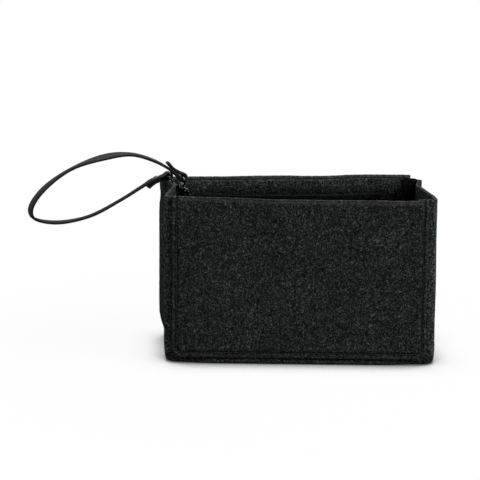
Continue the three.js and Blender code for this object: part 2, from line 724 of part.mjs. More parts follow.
function strapRoute() {
  const near = [END_CONVERGE / 2, END_CONVERGE];
  const legFrom = 16;
  const tail = (end, sign) => [
    end.spot(end.length, sign, TAIL_SPLAY),
    end.spot((end.length + RIVET_AT) / 2, sign, TAIL_SPLAY / 4),
    end.spot(RIVET_AT, sign),
  ];
  const closing = (end, sign) => near.map((s) => end.spot(s, sign));
  const lower = [
    ...tail(lowerEnd, 1),
    ...closing(lowerEnd, 1).reverse(),
    ...lowerEnd.fold,
    ...closing(lowerEnd, -1),
    lowerEnd.spot(RIVET_AT, -1),
    lowerEnd.spot(legFrom, -1),
  ];
  const upper = [
    upperEnd.spot(legFrom, 1),
    upperEnd.spot(RIVET_AT, 1),
    ...closing(upperEnd, 1).reverse(),
    ...upperEnd.fold,
    ...closing(upperEnd, -1),
    ...tail(upperEnd, -1).reverse(),
  ];
  const loop = LOOP_ROUTE.map(([x, z]) => vec2(x, z));
  const drift = (i) => hookSpread * (1 - (2 * (i + 1)) / (loop.length + 1));
  return [
    ...lower.map((p) => new THREE.Vector3(p.x, hookSpread, p.y)),
    ...loop.map((p, i) => new THREE.Vector3(p.x, drift(i), p.y)),
    ...upper.map((p) => new THREE.Vector3(p.x, -hookSpread, p.y)),
  ];
}

// The strap's section is a flat rectangle with its edges broken, carried along the route.
function ribbon(points, stepsPerSpan) {
  const line = new THREE.CatmullRomCurve3(points);
  const count = stepsPerSpan * (points.length - 1);
  const w = STRAP_WIDTH / 2;
  const t = STRAP_THICK / 2;
  const c = STRAP_EDGE;
  const section = [
    [w, c - t], [w, t - c], [w - c, t], [c - w, t],
    [-w, t - c], [-w, c - t], [c - w, -t], [w - c, -t],
  ];
  const rings = Array.from({ length: count + 1 }, (_, i) => {
    const at = line.getPoint(i / count);
    const way = line.getTangent(i / count);
    const top = at.z > 0 ? Math.exp(-(((at.x - TWIST_AT) / TWIST_SPAN) ** 2)) : 0;
    const flat = new THREE.Vector3(0, 1, 0).addScaledVector(way, -way.y).normalize();
    const broad = flat.applyAxisAngle(way, STRAP_TWIST * DEGREE * top);
    const thin = way.clone().cross(broad);
    return section.map(([a, b]) => at.clone().addScaledVector(broad, a).addScaledVector(thin, b));
  });
  return loft(rings);
}

// A group whose Z axis is the rivet's axis: it stands on the leg of a strap end.
function rivetFrame(end, aside, sign) {
  const spot = end.spot(RIVET_AT, 0);
  const axis = end.side.clone().multiplyScalar(sign);
  const group = new THREE.Group();
  group.position.set(spot.x, aside, spot.y);
  group.rotation.y = Math.atan2(axis.x, axis.y);
  return group;
}

const stackHalf = STRAP_THICK + LAYER_GAP / 2 + RUNNING_GAP;

function rivet(name, end, aside, sign) {
  const group = rivetFrame(end, STRAP_SIDE + aside, sign);
  const shankEnd = -stackHalf - RIVET_BACK_HIGH * 0.6;
  const dome = Array.from({ length: 6 }, (_, k) => {
    const angle = (Math.PI / 2) * (k / 5);
    return [RIVET_DOME * Math.cos(angle), stackHalf + RIVET_RIM + RIVET_DOME_HIGH * Math.sin(angle)];
  });
  const cap = turned([
    [0, shankEnd],
    [RIVET_SHANK, shankEnd],
    [RIVET_SHANK, stackHalf],
    [RIVET_DOME, stackHalf],
    ...dome.slice(0, -1),
    [0, stackHalf + RIVET_RIM + RIVET_DOME_HIGH],
  ]);
  const bore = RIVET_SHANK + PIN_CLEARANCE;
  const back = turned([
    [0, -stackHalf - RIVET_BACK_HIGH],
    [RIVET_BACK - RIVET_RIM, -stackHalf - RIVET_BACK_HIGH],
    [RIVET_BACK, -stackHalf - RIVET_BACK_HIGH + RIVET_RIM],
    [RIVET_BACK, -stackHalf],
    [bore, -stackHalf],
    [bore, -stackHalf - RIVET_BACK_HIGH * 0.75],
    [0, -stackHalf - RIVET_BACK_HIGH * 0.75],
  ]);
  group.add(piece(name + "_rivet_cap", cap, CHROME), piece(name + "_rivet_back", back, CHROME));
  return group;
}

function wristStrap() {
  const hole = (end, aside, sign) => {
    const frame = rivetFrame(end, aside, sign);
    frame.updateMatrix();
    const drill = new THREE.CylinderGeometry(RIVET_HOLE, RIVET_HOLE, 4 * stackHalf, 16);
    return drill.rotateX(Math.PI / 2).applyMatrix4(frame.matrix);
  };
  const cloth = cutFrom(
    ribbon(strapRoute(), 3),
    hole(lowerEnd, hookSpread, -1),
    hole(upperEnd, -hookSpread, 1),
  );
  return piece("wrist_strap", cloth.translate(0, STRAP_SIDE, 0), STRAP_GREY);
}

const pouch = new THREE.Group();
pouch.add(
  gusset("left_gusset", -1),
  gusset("right_gusset", 1),
  basePanel(),
  frontPanel(),
);

const backGroup = new THREE.Group();
backGroup.position.set((backLeft.x + backRight.x) / 2, (backLeft.y + backRight.y) / 2, 0);
backGroup.rotation.z = backTurn;
backGroup.add(backPanel(), slipPocket());
pouch.add(backGroup);

const strapGroup = new THREE.Group();
strapGroup.position.set(leftCrease.x, leftCrease.y, gussetTop);
strapGroup.rotation.z = strapTurn;
strapGroup.add(
  ringTab(),
  anchorRing(),
  clasp("lower", LOWER_TILT, ringOuter, hookSpread),
  clasp("upper", UPPER_TILT, upperSeat, -hookSpread),
  wristStrap(),
  rivet("lower", lowerEnd, hookSpread, -1),
  rivet("upper", upperEnd, -hookSpread, 1),
);
pouch.add(strapGroup);

export default pouch;
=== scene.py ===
import math
import random
import bpy
import bmesh
from mathutils import Matrix, Vector, noise


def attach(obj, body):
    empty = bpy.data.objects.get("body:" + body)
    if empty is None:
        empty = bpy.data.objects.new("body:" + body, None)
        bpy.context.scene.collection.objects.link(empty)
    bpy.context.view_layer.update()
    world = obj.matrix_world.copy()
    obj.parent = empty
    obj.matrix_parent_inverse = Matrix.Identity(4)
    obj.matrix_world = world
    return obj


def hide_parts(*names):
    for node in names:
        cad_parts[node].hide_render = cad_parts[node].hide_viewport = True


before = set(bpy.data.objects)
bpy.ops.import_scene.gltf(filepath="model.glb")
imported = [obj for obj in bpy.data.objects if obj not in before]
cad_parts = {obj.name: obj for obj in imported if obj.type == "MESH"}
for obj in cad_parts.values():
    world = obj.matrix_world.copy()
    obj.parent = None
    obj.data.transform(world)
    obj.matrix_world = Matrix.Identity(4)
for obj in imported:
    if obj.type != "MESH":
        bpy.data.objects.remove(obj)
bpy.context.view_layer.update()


# Camera
# A product view from 1.75 m away with a long lens, 12.9 degrees above the level and rolled
# a little clockwise. The pouch stands right of the middle, its strap reaches out to the left.
aim = Vector((-0.0562, 0.0, 0.1083))
rise, roll, distance = math.radians(12.9), math.radians(0.65), 1.75
forward = Vector((0.0, math.cos(rise), -math.sin(rise)))
level = Vector((1.0, 0.0, 0.0))
above = level.cross(forward)
right = level * math.cos(roll) + above * math.sin(roll)
up = above * math.cos(roll) - level * math.sin(roll)
bpy.ops.object.camera_add()
camera = bpy.context.object
camera.data.lens, camera.data.sensor_width = 135.0, 36.0
turned = Matrix((right, up, -forward)).transposed().to_4x4()
camera.matrix_world = Matrix.Translation(aim - forward * distance) @ turned
bpy.context.scene.camera = camera
bpy.context.scene.view_settings.view_transform = "Standard"


# Light and floor
# A white sweep in a photo studio: a large soft lamp from the upper right, a broad one overhead, a
# weak one from the left, and a black flag behind the camera that keeps the front of the felt dark
# and gives the chrome its dark side. The surroundings look plain white.
def add_node(tree, kind, inputs=None, **settings):
    """Adds a node with its properties; each input gets a value or the output that feeds it."""
    made = tree.nodes.new(kind)
    for name, value in settings.items():
        setattr(made, name, value)
    for name, value in (inputs or {}).items():
        if isinstance(value, bpy.types.NodeSocket):
            tree.links.new(value, made.inputs[name])
        else:
            made.inputs[name].default_value = value
    return made


def colour(written):
    """An sRGB colour such as 0x2f3130, in linear light."""
    parts = [((written >> shift) & 255) / 255 for shift in (16, 8, 0)]
    linear = [c / 12.92 if c <= 0.04045 else ((c + 0.055) / 1.055) ** 2.4 for c in parts]
    return (*linear, 1.0)


def looked_at(tree):
    """1 where the camera or a reflection looks at a surface, 0 where it only lights the object."""
    ray = add_node(tree, "ShaderNodeLightPath")
    mirrored = add_node(tree, "ShaderNodeMath", {0: ray.outputs["Is Glossy Ray"],
                                                 1: ray.outputs["Is Transmission Ray"]},
                        operation="MAXIMUM")
    seen = add_node(tree, "ShaderNodeMath", {0: ray.outputs["Is Camera Ray"],
                                             1: mirrored.outputs[0]}, operation="MAXIMUM")
    return seen.outputs[0]


world = bpy.data.worlds.new("studio")
bpy.context.scene.world = world
world.use_nodes = True
tree = world.node_tree
tree.nodes.clear()
lit = add_node(tree, "ShaderNodeBackground", {"Color": colour(0xf4f5f6), "Strength": 0.30})
white = add_node(tree, "ShaderNodeBackground", {"Color": (1, 1, 1, 1), "Strength": 1.0})
either = add_node(tree, "ShaderNodeMixShader", {0: looked_at(tree), 1: lit.outputs[0],
                                                2: white.outputs[0]})
add_node(tree, "ShaderNodeOutputWorld", {"Surface": either.outputs[0]})

for name, spot, size, power in (
    ("key softbox", (1.65, -0.65, 1.5), 1.1, 46.0),
    ("left softbox", (-1.6, 0.0, 1.0), 1.2, 6.0),
    ("overhead softbox", (0.1, -0.10, 1.9), 1.4, 30.0),
):
    bpy.ops.object.light_add(type="AREA", location=spot)
    lamp = bpy.context.object
    lamp.name = name
    lamp.data.energy, lamp.data.size = power, size
    lamp.rotation_euler = (Vector((0, 0, 0.08)) - Vector(spot)).to_track_quat("-Z", "Y").to_euler()

bpy.ops.mesh.primitive_grid_add(x_subdivisions=8, y_subdivisions=8, size=18)
floor = bpy.context.object
floor.name = "studio_floor"
paper = bpy.data.materials.new("white paper sweep")
paper.use_nodes = True
tree = paper.node_tree
tree.nodes.clear()
spot = add_node(tree, "ShaderNodeTexCoord").outputs["Object"]
# Close to the object the paper darkens where the object shuts off the sky, within 42 mm, and from
# 0.2 to 0.5 m away it turns plain white. The ramp gives the paper's brightness for each share of
# open sky.
shade_reach, white_from, white_at = 0.042, 0.2, 0.5
away = add_node(tree, "ShaderNodeVectorMath", {0: spot}, operation="LENGTH")
apart = add_node(tree, "ShaderNodeMapRange", {"Value": away.outputs["Value"],
                                              "From Min": white_from, "From Max": white_at},
                 interpolation_type="SMOOTHSTEP")
matt = add_node(tree, "ShaderNodeBsdfDiffuse", {"Color": colour(0x9a9b9c)})
sky = add_node(tree, "ShaderNodeAmbientOcclusion", {"Distance": shade_reach}, samples=8)
open_to = add_node(tree, "ShaderNodeValToRGB", {"Fac": sky.outputs["AO"]})
stops = open_to.color_ramp.elements
stops[0].position, stops[0].color = 0.45, (0.12, 0.12, 0.12, 1)
stops[1].position, stops[1].color = 1.0, (0.94, 0.94, 0.94, 1)
for place, level_there in ((0.52, 0.30), (0.60, 0.58), (0.69, 0.80), (0.80, 0.89)):
    stops.new(place).color = (level_there, level_there, level_there, 1)
shaded = add_node(tree, "ShaderNodeBsdfDiffuse", {"Color": (0.035, 0.035, 0.035, 1)})
glow = add_node(tree, "ShaderNodeEmission", {"Color": open_to.outputs[0], "Strength": 1.0})
bright = add_node(tree, "ShaderNodeAddShader", {0: shaded.outputs[0], 1: glow.outputs[0]})
plain = add_node(tree, "ShaderNodeEmission", {"Color": (1, 1, 1, 1), "Strength": 1.0})
sweep = add_node(tree, "ShaderNodeMixShader", {0: apart.outputs[0], 1: bright.outputs[0],
                                               2: plain.outputs[0]})
either = add_node(tree, "ShaderNodeMixShader", {0: looked_at(tree), 1: matt.outputs[0],
                                                2: sweep.outputs[0]})
add_node(tree, "ShaderNodeOutputMaterial", {"Surface": either.outputs[0]})
floor.data.materials.append(paper)

# The flag stands 2.35 m in front, 4.6 by 2.4 m, and the camera sees through it.
bpy.ops.mesh.primitive_grid_add(x_subdivisions=4, y_subdivisions=2, size=1)
flag = bpy.context.object
flag.name = "black_flag"
flag.data.transform(Matrix.Translation((0, -2.35, 1.25)) @ Matrix.Rotation(math.pi / 2, 4, "X")
                    @ Matrix.Diagonal((4.6, 2.4, 1, 1)))
velvet = bpy.data.materials.new("black velvet flag")
velvet.use_nodes = True
tree = velvet.node_tree
tree.nodes.clear()
ray = add_node(tree, "ShaderNodeLightPath")
black = add_node(tree, "ShaderNodeBsdfDiffuse", {"Color": colour(0x0c0c0c)})
clear = add_node(tree, "ShaderNodeBsdfTransparent")
either = add_node(tree, "ShaderNodeMixShader", {0: ray.outputs["Is Camera Ray"],
                                                1: black.outputs[0], 2: clear.outputs[0]})
add_node(tree, "ShaderNodeOutputMaterial", {"Surface": either.outputs[0]})
flag.data.materials.append(velvet)


# Gussets and base
# One strip of needle-punched felt, 3 mm thick, goes down the left side, under the pouch and up
# the right side. Its long edges are folded round and turned in behind the panels as sewn lips,
# the sides are creased inwards, and where it meets the table it is rounded by its own stiffness.
front_left, front_right = Vector((-0.128, -0.05475)), Vector((0.128, -0.05475))
back_left, back_right = Vector((-0.13735, 0.04425)), Vector((0.12215, 0.06525))
back_way = (back_right - back_left).normalized()
height, gusset_top, rim = 0.162, 0.1615, 0.018
foot_spread, thick = 0.0026, 0.003
half_thick = thick / 2
fuller = 0.001  # the sides stand this much outside the CAD's folds
fold_round, front_foot_round, back_foot_round = 0.0036, 0.013, 0.022
lip_reach, back_right_out = 0.019, 0.0035


def crease_of(front, back, from_back, inward, side):
    """A crease lies between the front and back folds of a gusset, pushed into the pouch."""
    way = (front - back).normalized()
    inside = Vector((way.y, -way.x)) * side
    return back + way * from_back + inside * inward


left_crease = crease_of(front_left, back_left, 0.0435, 0.012, -1)
right_crease = crease_of(front_right, back_right, 0.048, 0.0085, 1)


def rounded(before, corner, after, radius, steps):
    """The points of the arc that rounds one corner of a line."""
    back, on = (before - corner).normalized(), (after - corner).normalized()
    half = math.acos(max(-1.0, min(1.0, back.dot(on)))) / 2
    centre = corner + (back + on).normalized() * radius / math.sin(half)
    start = corner + back * radius / math.tan(half) - centre
    turn = math.copysign(math.pi - 2 * half, on.cross(back))
    return [centre + Matrix.Rotation(turn * k / steps, 2) @ start for k in range(steps + 1)]


def felt_line(z, inset):
    """The felt from above at a height, clockwise from the left front lip, and each point's part."""
    flare = max(0.0, 1 - z / rim) ** 2
    front_round = fold_round + (front_foot_round - fold_round) * flare
    back_round = fold_round + (back_foot_round - fold_round) * flare
    spread = foot_spread * (1 - z / height)
    aside = Vector((spread + fuller, 0))
    far = back_right + back_way * (spread + back_right_out)
    # The back left fold stands 0.4 mm out, and is drawn in by 1.2 mm at a height of 147 mm.
    leaning = 0.4 * min(1.0, z / 0.03) - 1.2 * math.exp(-(((z - 0.147) / 0.007) ** 2))
    near = back_left - back_way * fuller * leaning
    # The right side swells a little between its crease and its front fold.
    swell = front_right.lerp(right_crease, 0.28) + Vector((0.0016, 0))
    near_lip = Vector((max(lip_reach, 1.1 * front_round), 0))
    far_lip = back_way * max(lip_reach, 1.1 * back_round)
    # Each stop is a corner, its radius, the number of steps to the next, and the part after it.
    stops = [
        (front_left + near_lip, 0, 10, "lip"), (front_left, front_round, 28, "left"),
        (left_crease, 0.010, 20, "left"), (near, back_round, 10, "lip"),
        (near + far_lip, 0, 48, "span"), (far - far_lip, 0, 10, "lip"),
        (far, back_round, 24, "right"), (right_crease + aside, 0.007, 20, "right"),
        (swell + aside, 0.03, 12, "right"),
        (front_right + aside, front_round, 10, "lip"),
        (front_right + aside - near_lip, 0, 48, "span"),
    ]
    bends = []
    for i, (corner, radius, _, _) in enumerate(stops):
        before, after = stops[i - 1][0], stops[(i + 1) % len(stops)][0]
        bends.append(rounded(before, corner, after, radius, 7) if radius else [corner])
    line, parts = [], []
    for i, bend in enumerate(bends):
        count, part = stops[i][2], stops[i][3]
        line += bend
        parts += [part if part != "span" else "lip"] * len(bend)
        start, end = bend[-1], bends[(i + 1) % len(bends)][0]
        line += [start.lerp(end, k / count) for k in range(1, count)]
        parts += [part] * (count - 1)
    moved = []
    for i, point in enumerate(line):
        way = (line[(i + 1) % len(line)] - line[i - 1]).normalized()
        moved.append(point - Vector((-way.y, way.x)) * inset)
    return moved, parts


def draped_grid(name, rows):
    """A grid primitive whose vertices are set on rows of points."""
    bpy.ops.object.select_all(action="DESELECT")
    bpy.ops.mesh.primitive_grid_add(x_subdivisions=len(rows[0]) - 1,
                                    y_subdivisions=len(rows) - 1, size=1)
    made = bpy.context.object
    made.name = name
    for vertex, place in zip(made.data.vertices, [point for row in rows for point in row]):
        vertex.co = place
    return made


def applied(made, kind, **settings):
    """Puts one modifier on the piece and applies it."""
    modifier = made.modifiers.new(kind.lower(), kind)
    for name, value in settings.items():
        setattr(modifier, name, value)
    bpy.context.view_layer.objects.active = made
    bpy.ops.object.modifier_apply(modifier=modifier.name)


def outward(made):
    """Merges doubles and turns all the faces of a closed mesh outwards."""
    bpy.ops.object.select_all(action="DESELECT")
    made.select_set(True)
    bpy.context.view_layer.objects.active = made
    bpy.ops.object.mode_set(mode="EDIT")
    bpy.ops.mesh.select_all(action="SELECT")
    bpy.ops.mesh.remove_doubles(threshold=0.00001)
    bpy.ops.mesh.normals_make_consistent(inside=False)
    bpy.ops.object.mode_set(mode="OBJECT")


def thickened(made, thickness, edge, segments):
    """Gives a bent sheet its thickness and rounds its cut edges, with its faces turned outwards."""
    applied(made, "SOLIDIFY", thickness=thickness, offset=0.0)
    applied(made, "BEVEL", width=edge, segments=segments, limit_method="ANGLE",
            angle_limit=math.radians(60))
    outward(made)


def eased(value, low, high):
    """A smooth step from 0 to 1."""
    t = max(0.0, min(1.0, (value - low) / (high - low)))
    return t * t * (3 - 2 * t)


tab_middle = Vector((-0.124, 0.023, 0.150))
# The noise has a fixed seed, so that every run gives the same felt.
noise.seed_set(5)


def settled(made):
    """Felt never hangs quite straight: it drifts by up to 1.1 mm, less at the table and the tab."""
    for vertex in made.data.vertices:
        spot = vertex.co
        near_tab = math.exp(-(((spot - tab_middle).length / 0.03) ** 2))
        share = min(1.0, spot.z / 0.02) * (1 - near_tab)
        vertex.co = spot + noise.noise_vector(spot * 17.0) * 0.0011 * share


nap = bpy.data.textures.new("felt nap", "CLOUDS")
nap.noise_scale, nap.noise_depth = 0.0032, 1


def felted(made, rough=0.00035):
    """The uneven nap of felt, as a small displacement, with crisp edges and smooth faces."""
    applied(made, "DISPLACE", texture=nap, strength=rough, mid_level=0.5, texture_coords="GLOBAL")
    bpy.ops.object.select_all(action="DESELECT")
    made.select_set(True)
    bpy.ops.object.shade_smooth_by_angle(angle=math.radians(50))


def painted(made, name, value_at):
    """A number for each vertex that the materials read, such as how near a cut edge is."""
    layer = made.data.attributes.new(name, "FLOAT", "POINT")
    layer.data.foreach_set("value", [value_at(vertex.co) for vertex in made.data.vertices])


# The bottom is laid in rings from its middle line out, then comes the curve at the floor, and then
# the sides up to the top edge.
rows = []
curve = 0.0032
floor_line, _ = felt_line(0, curve)
for share in (0.80, 0.55, 0.30, 0.12):
    inner = [point.lerp(Vector((max(-0.08, min(0.07, point.x)), 0.004)), share)
             for point in floor_line]
    rows.append([Vector((p.x, p.y, half_thick)) for p in inner + inner[:1]])
for k in range(5):
    angle = math.pi / 2 * k / 5
    z = curve - (curve - half_thick) * math.cos(angle)
    line, _ = felt_line(z, curve - (curve - half_thick) * math.sin(angle))
    rows.append([Vector((p.x, p.y, z)) for p in line + line[:1]])
levels = [curve, 0.0075, 0.0105, 0.014, rim]
levels += [rim + (gusset_top - rim) * k / 64 for k in range(1, 65)]
for z in levels:
    line, parts = felt_line(z, half_thick)
    lifted = (z - rim) / (gusset_top - rim)
    row = []
    for p in line:
        # The top edge dips 2.5 mm at both back folds, and 3.5 mm more at the right one.
        dip = 0.0
        for corner in (back_left, back_right):
            away = (p - corner).length
            dip = max(dip, 0.0025 * max(0.0, min(1.0, (0.021 - away) / 0.012)))
        outer = (p - back_right - back_way * back_right_out).length
        dip += 0.0035 * math.exp(-((outer / 0.005) ** 2))
        row.append(Vector((p.x, p.y, z - dip * max(0.0, lifted) ** 3)))
    rows.append(row + row[:1])
gussets = draped_grid("gussets_and_base", rows)

# Above the base's rim there is no felt between the lips, where the panels close the pouch.
columns = len(rows[0])
first_free = len(rows) - len(levels) + levels.index(rim)
spans = {i for i, part in enumerate(parts) if part == "span"}
edit = bmesh.new()
edit.from_mesh(gussets.data)
edit.verts.ensure_lookup_table()
open_faces = []
for face in edit.faces:
    places = [(v.index // columns, v.index % columns) for v in face.verts]
    above_rim = min(row for row, _ in places) >= first_free
    if above_rim and any(column in spans for _, column in places):
        open_faces.append(face)
bmesh.ops.delete(edit, geom=open_faces, context="FACES")
bmesh.ops.remove_doubles(edit, verts=edit.verts, dist=0.00001)
hole = [e for e in edit.edges if e.is_boundary and all(v.co.z < 0.002 for v in e.verts)]
bmesh.ops.contextual_create(edit, geom=hole)
edit.to_mesh(gussets.data)
edit.free()
outward(gussets)
thickened(gussets, thick, 0.0009, 3)
for vertex in gussets.data.vertices:
    # The corner at the back left is worn round where it meets the table.
    near = math.exp(-(((vertex.co.xy - back_left).length / 0.024) ** 2))
    low = max(0.0, 1 - vertex.co.z / 0.024)
    vertex.co += Vector((0.0045, -0.002, 0.0)) * near * low
    # Along the front the base bulges out under the panel's lower edge.
    if vertex.co.y < -0.045:
        middle = eased(0.128 - abs(vertex.co.x), 0.010, 0.050)
        vertex.co.y -= 0.0036 * middle * (1 - eased(vertex.co.z, 0.0025, 0.0070))
settled(gussets)


def gusset_edge(spot):
    """How frayed the felt is: a little at its top edge and more at the lips' cut ends."""
    drop = gusset_top - 0.0012 - spot.z
    lip_end = min(abs(abs(spot.x) - (front_right.x - lip_reach)),
                  abs((spot.xy - back_left).length - lip_reach),
                  abs((spot.xy - back_right).length - lip_reach))
    on_lip = 1.0 if (spot.y < -0.05 or spot.y > 0.04) and spot.z > rim else 0.0
    return max(0.0, 0.15 * (1 - max(0.0, drop) / 0.0015), 0.4 * on_lip * (1 - lip_end / 0.001))


def painted_shade_inside(depth):
    """A painted highlight makes the inner side pale at its rim, and painted shade darkens it
    further down.
    """
    return 0.26 + 1.85 * math.exp(-((max(0.0, depth) / 0.0122) ** 2))


plans = {}


def felt_line_near(z):
    """The middle of the felt at a height, worked out once for each millimetre."""
    if z not in plans:
        plans[z], _ = felt_line(z, half_thick)
    return plans[z]


def gusset_painted_light(spot):
    """Painted light on the felt: painted shade inside apart from its rim, and painted highlights on
    the front folds.
    """
    line = felt_line_near(round(max(spot.z, 0.0), 3))
    nearest = min(line, key=lambda p: (p - spot.xy).length_squared)
    middle = Vector((nearest.x * 0.2, 0.003))
    if (spot.xy - middle).length < (nearest - middle).length:
        # Painted shade: the inside is darker overall, and darkest towards the back right corner.
        corner = 1 - 0.75 * math.exp(-(((spot.xy - back_right).length / 0.022) ** 4))
        return painted_shade_inside(gusset_top - spot.z) * corner * 0.55
    # Outside, a painted highlight makes the front folds pale, and painted shade darkens the right
    # side towards its back.
    fold = min((spot.xy - front_left).length, (spot.xy - front_right).length)
    behind = 0.45 * eased(spot.x, 0.0, 0.1) * eased(spot.y, 0.0, 0.03)
    return 1 + 0.6 * math.exp(-((fold / 0.006) ** 2)) - behind


painted(gussets, "cut", gusset_edge)
painted(gussets, "tone", gusset_painted_light)
# Painted shadow darkens the line 6.8 mm up, under the panels' lower edges.
painted(gussets, "seam", lambda spot: math.exp(-(((spot.z - 0.0068) / 0.0016) ** 2)))
felted(gussets)


def strands(tree, spot, bundle, width, length):
    """Strands of a width and length in millimetres, which lie their own way in each bundle."""
    # The bundles' borders are ragged and stray by up to 4 mm.
    ragged = add_node(tree, "ShaderNodeTexNoise", {"Vector": spot, "Scale": 900.0, "Detail": 1.0})
    strayed = add_node(tree, "ShaderNodeVectorMath", {0: ragged.outputs["Color"],
                                                      1: (0.004, 0.004, 0.004), 2: spot},
                       operation="MULTIPLY_ADD")
    cell = add_node(tree, "ShaderNodeTexVoronoi", {"Vector": strayed.outputs[0],
                                                   "Scale": 1000 / bundle})
    way = add_node(tree, "ShaderNodeVectorMath", {0: cell.outputs["Color"], "Scale": 6.28},
                   operation="SCALE")
    laid = add_node(tree, "ShaderNodeVectorRotate", {"Vector": spot, "Rotation": way.outputs[0]},
                    rotation_type="EULER_XYZ")
    drawn = add_node(tree, "ShaderNodeVectorMath", {0: laid.outputs[0], 1: (width / length, 1, 1)},
                     operation="MULTIPLY")
    made = add_node(tree, "ShaderNodeTexNoise", {"Vector": drawn.outputs[0], "Scale": 500 / width,
                                                 "Detail": 1.0})
    return made.outputs["Fac"]


def new_finish(name):
    """A new material with its node tree, its shader and the place on the piece."""
    made = bpy.data.materials.new(name)
    made.use_nodes = True
    tree = made.node_tree
    spot = add_node(tree, "ShaderNodeTexCoord").outputs["Object"]
    return made, tree, tree.nodes["Principled BSDF"], spot


def felt(name, pit, ground, pale, fleck):
    """Needle-punched felt: matted fibres with no weave, dull, with dark pits and paler strands."""
    made, tree, shader, spot = new_finish(name)
    # Strands of fibre are 0.5 to 0.7 mm wide and 3 to 5 mm long, with hairs of 0.15 mm over them;
    # tufts are 3 mm, and clouds of even dyeing are 40 mm.
    coarse = strands(tree, spot, 4.0, 0.7, 5.0)
    fine = strands(tree, spot, 2.6, 0.5, 3.0)
    tuft = add_node(tree, "ShaderNodeTexNoise", {"Vector": spot, "Scale": 330.0, "Detail": 1.0})
    cloud = add_node(tree, "ShaderNodeTexNoise", {"Vector": spot, "Scale": 25.0, "Detail": 2.0})
    pick = add_node(tree, "ShaderNodeMapRange", {"Value": tuft.outputs["Fac"], "From Min": 0.42,
                                                 "From Max": 0.58})
    matted = add_node(tree, "ShaderNodeMix", {0: pick.outputs[0], 2: coarse, 3: fine},
                      data_type="FLOAT")
    hairs = strands(tree, spot, 3.2, 0.15, 4.0)
    over = add_node(tree, "ShaderNodeMapRange", {"Value": hairs, "From Min": 0.3, "From Max": 0.7,
                                                 "To Min": -0.07, "To Max": 0.07}, clamp=False)
    fibre = add_node(tree, "ShaderNodeMath", {0: matted.outputs[0], 1: over.outputs[0]},
                     operation="ADD")
    tone = add_node(tree, "ShaderNodeValToRGB", {"Fac": fibre.outputs[0]})
    ramp = tone.color_ramp.elements
    ramp[0].position, ramp[0].color = 0.37, colour(pit)
    ramp[1].position, ramp[1].color = 0.47, colour(ground)
    ramp.new(0.57).color = colour(pale)
    ramp.new(0.68).color = colour(fleck)
    cut = add_node(tree, "ShaderNodeAttribute", attribute_name="cut")
    frayed = add_node(tree, "ShaderNodeMapRange", {"Value": fine, "From Min": 0.30,
                                                   "From Max": 0.60, "To Min": 0.1, "To Max": 0.9})
    fuzz = add_node(tree, "ShaderNodeMath", {0: cut.outputs["Fac"], 1: frayed.outputs[0]},
                    operation="MULTIPLY")
    edged = add_node(tree, "ShaderNodeMix", {0: fuzz.outputs[0], 6: tone.outputs[0],
                                             7: colour(fleck)}, data_type="RGBA")
    dyed = add_node(tree, "ShaderNodeMapRange", {"Value": cloud.outputs["Fac"], "From Min": 0.3,
                                                 "From Max": 0.7, "To Min": 0.9, "To Max": 1.1})
    # The attribute tone holds painted light: painted shade inside the pouch and painted highlights
    # on rims and folds. The attribute seam darkens grooves, partly pressed felt and partly painted
    # shade, and holds the painted shadow under the panels.
    side = add_node(tree, "ShaderNodeAttribute", attribute_name="tone")
    seam = add_node(tree, "ShaderNodeAttribute", attribute_name="seam")
    sunk = add_node(tree, "ShaderNodeMapRange", {"Value": seam.outputs["Fac"], "To Min": 1.0,
                                                 "To Max": 0.5})
    dyed_and_painted_light = add_node(tree, "ShaderNodeMath", {0: dyed.outputs[0], 1: side.outputs["Fac"]},
                     operation="MULTIPLY")
    share = add_node(tree, "ShaderNodeMath", {0: dyed_and_painted_light.outputs[0], 1: sunk.outputs[0]},
                     operation="MULTIPLY")
    final = add_node(tree, "ShaderNodeVectorMath", {0: edged.outputs[2],
                                                    "Scale": share.outputs[0]}, operation="SCALE")
    bump = add_node(tree, "ShaderNodeBump", {"Height": fibre.outputs[0], "Strength": 0.6,
                                             "Distance": 0.0009})
    tree.links.new(final.outputs[0], shader.inputs["Base Color"])
    tree.links.new(bump.outputs[0], shader.inputs["Normal"])
    shader.inputs["Roughness"].default_value = 0.95
    shader.inputs["Specular IOR Level"].default_value = 0.0
    shader.inputs["Sheen Weight"].default_value = 0.02
    shader.inputs["Sheen Roughness"].default_value = 0.5
    return made


charcoal_felt = felt("charcoal needle felt", 0x0a0b0b, 0x181a19, 0x2e3130, 0x585c5a)
gussets.data.materials.append(charcoal_felt)
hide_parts("left_gusset", "right_gusset", "base_panel")
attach(gussets, "pouch")


# Front and back panels
# Two flat panels of the same 3 mm felt with raw cut edges and rounded lower corners, lapped over
# the lips and sewn down by one row of stitches 4 to 5 mm inside the edge, which pulls a groove in.
panel_lift, panel_corner = 0.0066, 0.008
seam_in = 0.0047  # from the lower edge to the stitches, which lie seam_out nearer the side edges
seam_out = 0.0010
panel_inset = 0.0085  # from the pouch's side folds to a panel's cut edge
sewn_gap = 0.0003  # between two layers that are sewn together
# The grid's lines, as distances from an edge: close together where the groove is.
edge_lines = [0, 0.0005, 0.0011, 0.0019, 0.0027, 0.0034, 0.0040, 0.0045, 0.0050, 0.0055, 0.0060,
              0.0066, 0.0074, 0.0084, 0.0098, 0.0117]
top_lines = [0, 0.0005, 0.0011, 0.0017, 0.0023, 0.0027, 0.0031, 0.0035, 0.0041, 0.0049, 0.0060]
# The top edges sag a little between their sewn ends, here the front's: places along X, and heights.
sag_line = [(-0.130, 0.0003), (-0.075, 0.0001), (-0.035, -0.0009), (-0.010, -0.0015),
            (0.030, -0.0017), (0.070, -0.0012), (0.100, -0.0015), (0.112, -0.0011),
            (0.130, -0.0006)]


